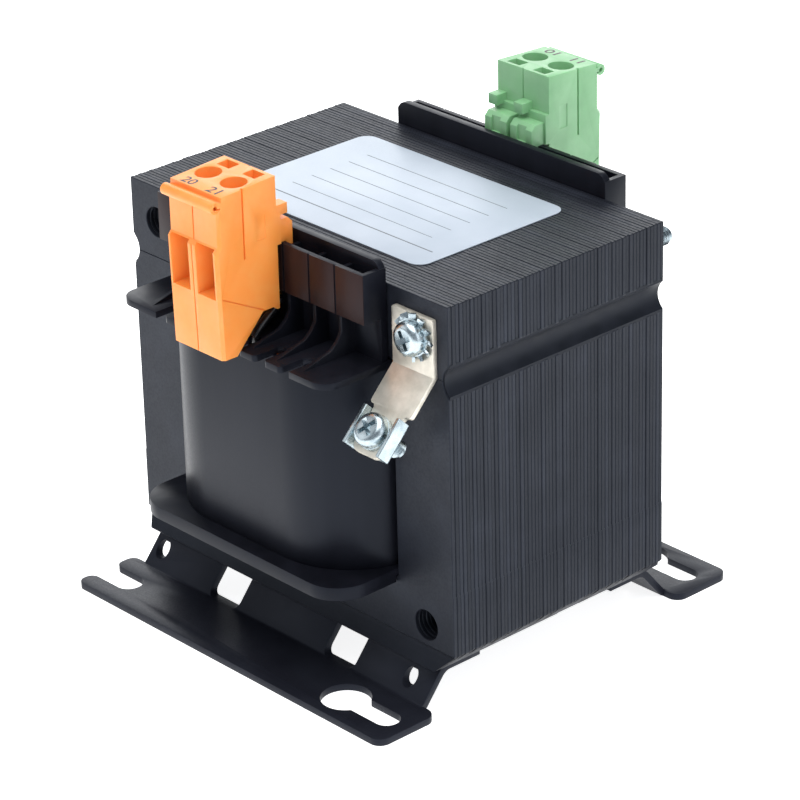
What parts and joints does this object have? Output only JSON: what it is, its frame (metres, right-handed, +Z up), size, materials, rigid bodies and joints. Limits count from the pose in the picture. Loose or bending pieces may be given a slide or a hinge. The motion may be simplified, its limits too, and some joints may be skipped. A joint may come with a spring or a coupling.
{
  "type": "chassis mains transformer",
  "caption": "Chassis transformer: stacked EI core, wrapped coil on a black bobbin, folded feet, plug-in terminals front and back and an earth strap.",
  "frame": {"origin": "on the floor, in the middle between the two feet, under the middle of the core", "axes": "+X to the right along the core's width, +Y through the stack to the back, +Z up; the earth strap is on the front at +X"},
  "size_m": [0.096, 0.108, 0.1068],
  "materials": {
    "core_enamel": "satin dip varnish over the stacked sheets",
    "weld_metal": "varnished weld bead",
    "foot_enamel": "satin black",
    "bobbin_nylon": "moulded, fine matt",
    "winding_copper": "enamelled wire in layers",
    "insulation_film": "wrapped film",
    "coil_wrap": "smooth wrap",
    "label_film": "printed film",
    "tinned_steel": "tinned",
    "zinc_steel": "bright zinc",
    "orange_nylon": "moulded, satin",
    "green_nylon": "moulded, satin",
    "clamp_steel": "zinc plated",
    "contact_brass": "tinned brass",
    "sleeve_black": "smooth sleeve"
  },
  "bodies": {
    "root": {"e_laminations": "core_enamel", "i_laminations": "core_enamel", "weld_seams": "weld_metal", "front_foot": "foot_enamel", "rear_foot": "foot_enamel", "bobbin": "bobbin_nylon", "primary_winding": "winding_copper", "insulation_foil": "insulation_film", "secondary_winding": "winding_copper", "coil_cover": "coil_wrap", "rating_label": "label_film", "earth_strap": "tinned_steel", "star_washer": "zinc_steel", "earth_screw": "zinc_steel", "earth_nut": "zinc_steel", "clamp_plate": "zinc_steel", "spring_washer": "zinc_steel", "strap_clamp_screw": "zinc_steel", "front_terminal_housing": "orange_nylon", "rear_terminal_housing": "green_nylon", "front_clamp_cages": "clamp_steel", "front_clamp_screws": "zinc_steel", "front_contacts": "contact_brass", "front_lead_wires": "sleeve_black", "rear_clamp_cages": "clamp_steel", "rear_clamp_screws": "zinc_steel", "rear_contacts": "contact_brass", "rear_lead_wires": "sleeve_black"}
  },
  "joints": []
}
